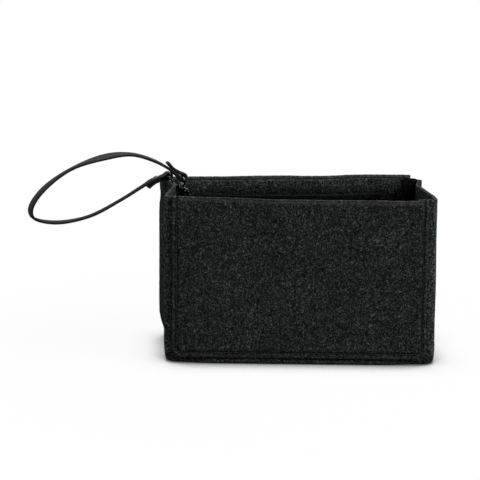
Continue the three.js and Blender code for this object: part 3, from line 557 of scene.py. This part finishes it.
def lines_across(length, far_lines):
    """Distances from one edge to the other, close together beside the seams."""
    far = [length - d for d in reversed(far_lines)]
    start, end = edge_lines[-1], far[0]
    count = round((end - start) / 0.0021)
    return edge_lines + [start + (end - start) * k / count for k in range(1, count)] + far


def in_from_edge(a, b, width):
    """How far a point of a panel is from its cut outline: a across, b up from the lower edge."""
    side = min(a, width - a)
    if side < panel_corner and b < panel_corner:
        return panel_corner - math.hypot(panel_corner - side, panel_corner - b)
    return min(side, b)


def sag_at(x):
    """How much the front's top edge lies above or below its straight line."""
    for (x0, z0), (x1, z1) in zip(sag_line, sag_line[1:]):
        if x <= x1:
            return z0 + (z1 - z0) * max(0.0, x - x0) / (x1 - x0)
    return sag_line[-1][1]


def panel(name, node, width, outer, place):
    """One panel; outer is the side along Y on which its outer face lies."""
    tall = height - panel_lift
    middle = outer * (sewn_gap + half_thick)
    rows = []
    for b in lines_across(tall, top_lines):
        row = []
        for a in lines_across(width, edge_lines):
            side = min(a, width - a)
            da, db = side, b
            if side < panel_corner and b < panel_corner:
                ca, cb = panel_corner - side, panel_corner - b
                reach = max(ca, cb) / math.hypot(ca, cb) if max(ca, cb) > 0 else 1
                da, db = panel_corner - ca * reach, panel_corner - cb * reach
            across = da if a < width / 2 else width - da
            lean = foot_spread * (1 - b / tall) * across / width
            row.append(Vector((across - width / 2 + lean, middle, panel_lift + db)))
        rows.append(row)
    made = draped_grid(name, rows)
    thickened(made, thick, 0.0011, 4)
    edges, painted_shades, seams = [], [], []
    for vertex in made.data.vertices:
        b = vertex.co.z - panel_lift
        lean = foot_spread * (1 - b / tall)
        a = (vertex.co.x + width / 2) * width / (width + lean)
        inset = in_from_edge(a, b, width)
        below_top = height - vertex.co.z
        outside = vertex.co.y * outer > middle * outer
        # The cut edges are frayed, and a band 1 to 4 mm under the top edge is paler, partly frayed
        # fibres and partly a painted highlight where the top rim catches the light.
        top_highlight_band = 1 - eased(below_top, 0.0022, 0.0054)
        rim_fray_and_highlight = 0.5 * top_highlight_band * (0.1 + 0.9 * eased(below_top, 0.0008, 0.0018))
        edges.append(max(0.0, 0.25 * (1 - inset / 0.0014), rim_fray_and_highlight))
        # Inside, painted shade darkens the felt below a painted highlight at the rim.
        painted_shades.append(1.0 if outside else painted_shade_inside(below_top))
        # The seam pulls in a groove, and the felt beside it puffs up; the back panel's inner side
        # has a second row of stitches under its top edge.
        row = in_from_edge(min(a, width - a) + seam_out, b, width + 1)
        pull = math.exp(-(((row - seam_in) / 0.0010) ** 2))
        puff = 0.0003 * math.exp(-(((row - seam_in - 0.0035) / 0.0022) ** 2))
        top_row = 0.0
        if outer > 0 and not outside and min(a, width - a) > 0.006:
            top_row = math.exp(-(((below_top - 0.0031) / 0.0007) ** 2))
        # The groove and the inner top row are darkened in colour too, partly by the denser pressed
        # felt and partly as painted shade.
        seams.append(max(pull if outside else 0.4 * pull, top_row))
        if outside:
            vertex.co.y += outer * (puff - 0.0012 * pull)
        else:
            vertex.co.y += outer * (0.0003 * pull + 0.0006 * top_row)
        back_sag = -0.0008 * (1 - eased(vertex.co.x, 0.03, 0.07))
        sag = sag_at(vertex.co.x) if outer < 0 else back_sag
        vertex.co.z += sag * eased(vertex.co.z, 0.09, 0.160)
    made.data.transform(place)
    for layer_name, values in (("cut", edges), ("tone", painted_shades), ("seam", seams)):
        made.data.attributes.new(layer_name, "FLOAT", "POINT").data.foreach_set("value", values)
    settled(made)
    felted(made, 0.0005)
    made.data.materials.append(charcoal_felt)
    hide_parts(node)
    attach(made, "pouch")
    return made


front_place = Matrix.Translation((0, front_left.y, 0))
back_middle = (back_left + back_right) / 2
back_turn = math.atan2(back_way.y, back_way.x)
back_place = Matrix.Translation((*back_middle, 0)) @ Matrix.Rotation(back_turn, 4, "Z")
front_width = (front_right - front_left).length - 2 * panel_inset
back_width = (back_right - back_left).length - 2 * panel_inset
front_felt = panel("front_felt", "front_panel", front_width, -1, front_place)
back_felt = panel("back_felt", "back_panel", back_width, 1, back_place)


# Slip pocket
# A softer 2 mm felt pocket inside the back panel. It is sewn flat down both sides and along the
# bottom and bows away from the panel towards its mouth, whose cut edge catches the light.
pocket_half, pocket_low, pocket_top = 0.092, 0.034, 0.1438
pocket_thick, pocket_mouth, margin = 0.002, 0.0085, 0.008


def pocket_bow(a, b):
    """How far the pocket stands off: a from -1 to 1 across, b from 0 to 1 up."""
    tall = pocket_top - pocket_low
    side = eased(1 - abs(a), margin / pocket_half, 0.5)
    return pocket_mouth * side * eased(b * tall, margin, tall * 0.85)


steps_up, steps_across = 60, 96
rows = []
for i in range(steps_up + 1):
    b = i / steps_up
    z = pocket_low + (pocket_top - pocket_low) * b
    row = []
    for k in range(steps_across + 1):
        a = 2 * k / steps_across - 1
        row.append(Vector((a * pocket_half, -pocket_bow(a, b) - pocket_thick / 2, z)))
    rows.append(row)
pocket = draped_grid("slip_pocket_felt", rows)
thickened(pocket, pocket_thick, 0.0005, 2)
painted(pocket, "cut", lambda spot: 0.3 * max(0.0, 1 - (pocket_top - spot.z) / 0.0018,
                                              1 - (pocket_half - abs(spot.x)) / 0.001,
                                              1 - (spot.z - pocket_low) / 0.001))
# Painted shade darkens the pocket, less near its mouth.
painted(pocket, "tone", lambda spot: 0.55 * painted_shade_inside(height - spot.z))
# The stitches pull a groove in, 4 mm inside the sewn edges.
for vertex in pocket.data.vertices:
    sides = min(pocket_half - abs(vertex.co.x), vertex.co.z - pocket_low)
    pull = math.exp(-(((sides - 0.004) / 0.0012) ** 2))
    vertex.co.y += 0.0006 * pull * (1 if vertex.co.y < -pocket_thick / 2 else 0)
pocket.data.transform(back_place)
settled(pocket)
felted(pocket, 0.0003)
inner_felt = felt("thin inner felt", 0x090a0a, 0x161817, 0x2a2d2c, 0x535755)
pocket.data.materials.append(inner_felt)
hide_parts("slip_pocket")
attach(pocket, "pouch")


# Loose fibres
# Needle felt always sheds: single wool and polyester fibres stand off its faces and cut edges.
# They are drawn 0.1 mm thick, as strands of two or three fibres, and scattered by a fixed seed.
random.seed(772)
bpy.ops.object.select_all(action="DESELECT")
shed = bpy.data.curves.new("loose_fibres", "CURVE")
shed.dimensions, shed.bevel_depth = "3D", 0.00005
shed.bevel_resolution, shed.use_fill_caps = 0, True
for source, count in ((front_felt, 520), (back_felt, 420), (gussets, 620), (pocket, 120)):
    faces = source.data.polygons
    for face in random.choices(faces, weights=[f.area for f in faces], k=count):
        across = face.normal.orthogonal().normalized()
        way = Matrix.Rotation(random.uniform(0, 2 * math.pi), 3, face.normal) @ across
        bow = face.normal.cross(way) * random.uniform(-0.4, 0.4)
        reach, lift = random.uniform(0.0018, 0.0048), random.uniform(0.1, 0.55)
        strand = shed.splines.new("POLY")
        strand.points.add(3)
        for k, point in enumerate(strand.points):
            t = k / 3
            place = (face.center - face.normal * 0.0002 + way * reach * t + bow * reach * t * t
                     + face.normal * reach * lift * t * (1.6 - t))
            point.co = (place.x, place.y, max(place.z, 0.0002), 1)
fibres = bpy.data.objects.new("loose_fibres", shed)
bpy.context.scene.collection.objects.link(fibres)
fibres.select_set(True)
bpy.context.view_layer.objects.active = fibres
bpy.ops.object.convert(target="MESH")
fibres = bpy.context.object
painted(fibres, "tone", lambda spot: 1.6)
fibres.data.materials.append(charcoal_felt)
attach(fibres, "pouch")


# Ring tab
# A folded tab of thin felt, sewn to the inner face of the left gusset with a box of stitches;
# the wire ring hangs in its fold.
gusset_way = (back_left - left_crease).normalized()
strap_turn = math.atan2(-gusset_way.x, gusset_way.y)
strap_place = (Matrix.Translation((left_crease.x, left_crease.y, gusset_top))
               @ Matrix.Rotation(strap_turn, 4, "Z"))
strap_side = 0.021
ring_inner = Vector((0.00635, -0.02072))
tab_thick, tab_loop, tab_half = 0.0015, 0.00305, 0.00945
foot, lead = ring_inner.y - 0.028, ring_inner.y - 0.008
wall = thick + sewn_gap
bend = [ring_inner + Matrix.Rotation(math.pi * k / 14, 2) @ Vector((tab_loop - tab_thick / 2, 0))
        for k in range(15)]
inner_leg, outer_leg = wall + tab_thick / 2, wall + 2 * tab_thick + sewn_gap - tab_thick / 2
path = [Vector((outer_leg, foot + (lead - foot) * k / 12)) for k in range(13)]
path += [Vector((outer_leg, lead)).lerp(bend[0], eased(k / 6, 0, 1)) for k in range(1, 6)]
path += bend
path += [Vector((inner_leg, bend[-1].y - (bend[-1].y - foot) * k / 16)) for k in range(1, 17)]
rows = [[Vector((x, strap_side + tab_half * (2 * k / 14 - 1), z)) for k in range(15)]
        for x, z in path]
tab = draped_grid("ring_tab_felt", rows)
thickened(tab, tab_thick, 0.0004, 2)
painted(tab, "cut", lambda spot: max(0.0, 1 - (tab_half - abs(spot.y - strap_side)) / 0.0008))
painted(tab, "tone", lambda spot: 0.8)
tab.data.transform(strap_place)
felted(tab, 0.00015)
tab.data.materials.append(inner_felt)
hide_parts("ring_tab")
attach(tab, "pouch")


# Stitches
# Lockstitch in bonded polyester thread, 0.6 mm thick and 3.2 mm a stitch, sunk in its groove.
# One stitch is modelled, repeated by an array and led along each seam by a curve.
thread, tree, shader, spot = new_finish("bonded polyester thread")
# The plies of the thread are 0.3 mm apart and give it a faint, broken sheen.
ply = add_node(tree, "ShaderNodeTexNoise", {"Vector": spot, "Scale": 1600.0, "Detail": 1.0})
tone = add_node(tree, "ShaderNodeMix", {0: ply.outputs["Fac"], 6: colour(0x0e0f0f),
                                        7: colour(0x1f2020)}, data_type="RGBA")
bump = add_node(tree, "ShaderNodeBump", {"Height": ply.outputs["Fac"], "Distance": 0.0001})
tree.links.new(tone.outputs[2], shader.inputs["Base Color"])
tree.links.new(bump.outputs[0], shader.inputs["Normal"])
shader.inputs["Roughness"].default_value = 0.6
stitch_pitch, stitch_long, thread_thick = 0.0032, 0.0027, 0.0006


def seam(name, points, place):
    """A row of stitches along a line of points."""
    bpy.ops.object.select_all(action="DESELECT")
    data = bpy.data.curves.new(name + "_line", "CURVE")
    data.dimensions = "3D"
    spline = data.splines.new("POLY")
    spline.points.add(len(points) - 1)
    for target, point in zip(spline.points, points):
        target.co = (*(place @ point), 1)
    guide = bpy.data.objects.new(name + "_line", data)
    bpy.context.scene.collection.objects.link(guide)
    length = sum((b - a).length for a, b in zip(points, points[1:]))
    bpy.ops.mesh.primitive_uv_sphere_add(segments=8, ring_count=6, radius=0.5)
    made = bpy.context.object
    made.name = name
    made.data.transform(Matrix.Rotation(math.pi / 2, 4, "Y"))
    made.data.transform(Matrix.Diagonal((stitch_long, thread_thick, thread_thick, 1)))
    made.data.transform(Matrix.Translation((stitch_pitch / 2, 0, 0)))
    applied(made, "ARRAY", fit_type="FIXED_COUNT", count=int(length / stitch_pitch),
            use_relative_offset=False, use_constant_offset=True,
            constant_offset_displace=(stitch_pitch, 0, 0))
    applied(made, "CURVE", object=guide, deform_axis="POS_X")
    bpy.data.objects.remove(guide)
    for face in made.data.polygons:
        face.use_smooth = True
    made.data.materials.append(thread)
    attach(made, "pouch")


def round_the_panel(width, y):
    """The seam's line: down one side, along the lower edge and up the other."""
    tall = height - panel_lift
    turn_radius = panel_corner - seam_in
    half = width / 2
    arc = [Vector((-half - seam_out + panel_corner - turn_radius * math.cos(math.pi / 2 * k / 6), y,
                   panel_lift + panel_corner - turn_radius * math.sin(math.pi / 2 * k / 6)))
           for k in range(7)]
    left = [Vector((-half - seam_out + seam_in, y, height - 0.002)), *arc]
    mirrored = [Vector((-p.x + foot_spread * (1 - (p.z - panel_lift) / tall), y, p.z))
                for p in reversed(left)]
    return left + mirrored


sunk_in = 0.00055  # the groove's stitches lie this deep under the panel's face
seam("front_stitches", round_the_panel(front_width, -sewn_gap - thick + sunk_in), front_place)
seam("back_stitches", round_the_panel(back_width, sewn_gap + thick - sunk_in), back_place)
seam("back_top_stitches", [Vector((-back_width / 2 + 0.008, 0.0002, height - 0.003)),
                           Vector((back_width / 2 - 0.008, 0.0002, height - 0.003))], back_place)
low, side = pocket_low + 0.004, pocket_half - 0.004
face = -pocket_thick + 0.0004
seam("pocket_stitches", [Vector((-side, face, pocket_top - 0.002)), Vector((-side, face, low)),
                         Vector((side, face, low)), Vector((side, face, pocket_top - 0.002))],
     back_place)
face = outer_leg + tab_thick / 2 - 0.0001
box = [(-1, lead - 0.002), (-1, foot + 0.002), (1, foot + 0.002), (1, lead - 0.002),
       (-1, lead - 0.002)]
seam("tab_stitches", [Vector((face, strap_side + s * (tab_half - 0.002), z)) for s, z in box],
     strap_place)


# Wrist strap
# One 9.5 mm strap of coated split leather, 2.7 mm thick, with painted edges and a pressed line
# beside each edge. Both ends fold back round the clasps' eyes; the rivets press them together.
strap_half, strap_thick = 0.00475, 0.0027
hook_spread = 0.0052
eye_room, slack = 0.0014, 0.0006  # between the eye's bar and the leather round it
tail_closing, leg_closing = 0.0050, 0.0042  # the layers meet this far from the bar
rivet_at, rivet_base = 0.012, 0.00215
lower_bar, upper_bar = Vector((0.00303, 0.0043)), Vector((0.01402, 0.00472))
lower_slope, upper_slope, upper_rivet_slope = 17, -37.5, -33


def away_from_bar(slope):
    """The way a strap end points from its bar, at a slope in degrees below level."""
    return Vector((-math.cos(math.radians(slope)), -math.sin(math.radians(slope))))


def strap_end(bar, slope, length, first, splay, thick_at):
    """A folded end from the tail's tip round the eye to the free loop: points and thicknesses."""
    way = away_from_bar(slope)
    side = Vector((-way.y, way.x))

    def spot(along, sign, aside=0.0):
        closing = tail_closing if sign == first else leg_closing
        off = thick_at(along) / 2 + 0.00002 + eye_room * (1 - eased(along, 0, closing))
        return bar + way * along + side * sign * (off + aside), thick_at(along)

    round_bar = side * (eye_room + thick_at(0) / 2)
    fold = [(bar - way * slack + Matrix.Rotation(math.pi * k / 6, 2) @ round_bar, thick_at(0))
            for k in range(7)]
    tail = [spot(length, first, splay), spot((length + rivet_at) / 2, first, splay / 3),
            spot(rivet_at, first), spot(0.007, first), spot(0.0035, first)]
    leg = [spot(0.0035, -first), spot(0.007, -first), spot(rivet_at, -first), spot(0.016, -first)]
    return tail + (fold if first > 0 else fold[::-1]) + leg


# The free loop in its plane: X and Z in millimetres, and the degrees it is turned about its length.
loop = [(-24.2, -5.2, 10.6), (-45.9, -16.8, 12.9), (-78.8, -30.9, 9.2), (-113.5, -34.1, -1.7),
        (-134.0, -27.7, 1.9), (-136.2, -19.0, 7.2), (-125.8, -2.6, 4.0), (-98.0, 16.9, -8.4),
        (-61.7, 27.9, 19.5), (-36.3, 28.9, 4.1), (-14.3, 21.8, 5.0)]
# The lower end is pressed thin by its rivet; the upper end is thick round its eye.
lower_end = strap_end(
    lower_bar, lower_slope, 0.0225, 1, 0.0028,
    lambda along: 0.0025 - 0.0004 * math.exp(-(((along - rivet_at) / 0.005) ** 2)))
upper_end = strap_end(
    upper_bar, upper_slope, 0.0205, -1, 0.0014,
    lambda along: strap_thick + 0.0006 * math.exp(-((along / 0.010) ** 4)))[::-1]
route = [(Vector((p.x, hook_spread, p.y)), 0.0, thick_here) for p, thick_here in lower_end]
for i, (x, z, turn) in enumerate(loop):
    drift = hook_spread * (1 - 2 * (i + 1) / (len(loop) + 1))
    route.append((Vector((x / 1000, drift, z / 1000)), math.radians(turn), strap_thick))
route += [(Vector((p.x, -hook_spread, p.y)), 0.0, thick_here) for p, thick_here in upper_end]
rivet_spots = [bar + away_from_bar(slope) * rivet_at
               for bar, slope in ((lower_bar, lower_slope), (upper_bar, upper_rivet_slope))]
rivet_ways = [Vector((-math.sin(math.radians(slope)), math.cos(math.radians(slope))))
              for slope in (lower_slope, upper_rivet_slope)]


def through(points, steps):
    """A smooth line through the points, with its knots spaced by the root of their distances."""
    padded = [2 * points[0] - points[1], *points, 2 * points[-1] - points[-2]]
    line = []
    for a, b, c, d in zip(padded, padded[1:], padded[2:], padded[3:]):
        t1 = (b - a).length ** 0.5
        t2 = t1 + (c - b).length ** 0.5
        t3 = t2 + (d - c).length ** 0.5
        for k in range(steps):
            t = t1 + (t2 - t1) * k / steps
            p, q = a.lerp(b, t / t1), b.lerp(c, (t - t1) / (t2 - t1))
            r = c.lerp(d, (t - t2) / (t3 - t2))
            m, n = p.lerp(q, t / t2), q.lerp(r, (t - t1) / (t3 - t1))
            line.append(m.lerp(n, (t - t1) / (t2 - t1)))
    return line + [points[-1]]


steps = 7
line = through([place for place, _, _ in route], steps)
# The strap's section: places across it from 0 to 1 and heights, with a pressed line at 0.8.
profile = []
for w in (0, 0.3, 0.6, 0.72, 0.77, 0.8, 0.83, 0.88, 0.93, 0.97, 1.0):
    pressed = 0.00012 * math.exp(-(((w - 0.8) / 0.035) ** 2))
    profile.append((w, strap_thick / 2 * (1 - w ** 11) ** 0.5 + 0.00006 * (1 - w * w) - pressed))
upper_face = [(-w, t) for w, t in profile[::-1]] + profile[1:]
section = upper_face + [(w, -t) for w, t in upper_face[-2:0:-1]]
rows = []
for i, spot in enumerate(line):
    way = (line[min(i + 1, len(line) - 1)] - line[max(i - 1, 0)]).normalized()
    last = min(i // steps, len(route) - 2)
    along = eased(i / steps - last, 0, 1)
    twist = route[last][1] + (route[last + 1][1] - route[last][1]) * along
    share = (route[last][2] + (route[last + 1][2] - route[last][2]) * along) / strap_thick
    # Under a rivet's cap the outer face of the leather is pressed in to the cap's base.
    dent = 0.0
    if not len(lower_end) <= last < len(route) - len(upper_end):
        which = 0 if last < len(lower_end) else 1
        away = Vector((spot.x, spot.z)) - rivet_spots[which]
        far_out = abs(away.dot(rivet_ways[which])) + share * strap_thick / 2 - rivet_base
        beside = math.sqrt(max(0.0, away.length_squared - away.dot(rivet_ways[which]) ** 2))
        dent = max(0.0, far_out) * (1 - eased(beside, 0.0032, 0.0048))
    broad = (Vector((0, 1, 0)) - way * way.y).normalized()
    broad = Matrix.Rotation(twist, 3, way) @ broad
    thin = way.cross(broad)
    ring = []
    for w, t in section:
        level_here = t * share
        if t < 0:
            level_here = min(0.0, level_here + dent * (1 - eased(abs(w), 0.68, 0.9)))
        ring.append(spot + broad * (w * strap_half) + thin * level_here)
    rows.append(ring + ring[:1])
strap = draped_grid("wrist_strap_leather", rows)
layer = strap.data.attributes.new("edge", "FLOAT", "POINT")
widths = [abs(w) for w, _ in section] + [abs(section[0][0])]
layer.data.foreach_set("value", widths * len(rows))
edit = bmesh.new()
edit.from_mesh(strap.data)
bmesh.ops.remove_doubles(edit, verts=edit.verts, dist=0.000001)
bmesh.ops.holes_fill(edit, edges=[e for e in edit.edges if e.is_boundary])
edit.to_mesh(strap.data)
edit.free()
strap.data.transform(Matrix.Translation((0, strap_side, 0)))
strap.data.transform(strap_place)
outward(strap)
bpy.ops.object.shade_smooth_by_angle(angle=math.radians(50))

# Coated split leather: a fine pebble grain of 0.5 mm under a dull finish, edges painted darker.
strap_leather, tree, shader, spot = new_finish("coated split leather")
pebble = add_node(tree, "ShaderNodeTexVoronoi", {"Vector": spot, "Scale": 1500.0},
                  feature="SMOOTH_F1")
cloud = add_node(tree, "ShaderNodeTexNoise", {"Vector": spot, "Scale": 120.0, "Detail": 3.0})
tone = add_node(tree, "ShaderNodeMix", {0: cloud.outputs["Fac"], 6: colour(0x232424),
                                        7: colour(0x3a3b3b)}, data_type="RGBA")
edge = add_node(tree, "ShaderNodeAttribute", attribute_name="edge")
band = add_node(tree, "ShaderNodeMapRange", {"Value": edge.outputs["Fac"], "From Min": 0.93,
                                             "From Max": 0.99})
finish = add_node(tree, "ShaderNodeMix", {0: band.outputs[0], 6: tone.outputs[2],
                                          7: colour(0x1c1c1d)}, data_type="RGBA")
bump = add_node(tree, "ShaderNodeBump", {"Height": pebble.outputs["Distance"], "Strength": 0.5,
                                         "Distance": 0.00012})
tree.links.new(finish.outputs[2], shader.inputs["Base Color"])
tree.links.new(bump.outputs[0], shader.inputs["Normal"])
shader.inputs["Roughness"].default_value = 0.8
shader.inputs["Specular IOR Level"].default_value = 0.06
strap.data.materials.append(strap_leather)
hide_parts("wrist_strap")
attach(strap, "strap")


# Ring, clasps and rivets
# Zinc die-cast hooks, gates and eyes, a steel wire ring and brass rivets, all polished and plated
# with dark chrome, which shows the lamps as thin bright lines; the gates' springs are bare steel.
chrome, tree, shader, spot = new_finish("dark chrome plate")
haze = add_node(tree, "ShaderNodeTexNoise", {"Vector": spot, "Scale": 400.0, "Detail": 3.0})
gloss = add_node(tree, "ShaderNodeMapRange", {"Value": haze.outputs["Fac"], "To Min": 0.06,
                                              "To Max": 0.16})
tint = add_node(tree, "ShaderNodeMix", {0: haze.outputs["Fac"], 6: colour(0x4c4e50),
                                        7: colour(0x5e6062)}, data_type="RGBA")
tree.links.new(gloss.outputs[0], shader.inputs["Roughness"])
tree.links.new(tint.outputs[2], shader.inputs["Base Color"])
shader.inputs["Metallic"].default_value = 1.0

# Drawn wire has no plate: it is paler and duller, with faint streaks about 1 mm long.
spring_steel, tree, shader, spot = new_finish("drawn spring steel")
drawn = add_node(tree, "ShaderNodeTexNoise", {"Vector": spot, "Scale": 900.0, "Detail": 2.0})
gloss = add_node(tree, "ShaderNodeMapRange", {"Value": drawn.outputs["Fac"], "To Min": 0.25,
                                              "To Max": 0.45})
tint = add_node(tree, "ShaderNodeMix", {0: drawn.outputs["Fac"], 6: colour(0x7c7f82),
                                        7: colour(0x9b9ea1)}, data_type="RGBA")
tree.links.new(gloss.outputs[0], shader.inputs["Roughness"])
tree.links.new(tint.outputs[2], shader.inputs["Base Color"])
shader.inputs["Metallic"].default_value = 1.0

bodies = {"anchor_ring": "ring", "lower_swivel_eye": "strap", "upper_swivel_eye": "strap",
          "lower_rivet_cap": "strap", "upper_rivet_cap": "strap", "lower_rivet_back": "strap",
          "upper_rivet_back": "strap", "lower_hook": "lower_clasp", "lower_gate_pin": "lower_clasp",
          "lower_gate_spring": "lower_clasp", "upper_hook": "upper_clasp",
          "upper_gate_pin": "upper_clasp", "upper_gate_spring": "upper_clasp",
          "lower_gate": "lower_clasp_gate", "upper_gate": "upper_clasp_gate"}
for node, body in bodies.items():
    is_spring = "spring" in node
    made = bpy.data.objects.new(node + "_polished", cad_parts[node].data.copy())
    bpy.context.scene.collection.objects.link(made)
    outward(made)
    if not is_spring:
        applied(made, "BEVEL", width=0.00018, segments=2, limit_method="ANGLE",
                angle_limit=math.radians(40), use_clamp_overlap=True)
    made.select_set(True)
    bpy.ops.object.shade_smooth_by_angle(angle=math.radians(42))
    made.data.materials.clear()
    made.data.materials.append(spring_steel if is_spring else chrome)
    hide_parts(node)
    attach(made, body)
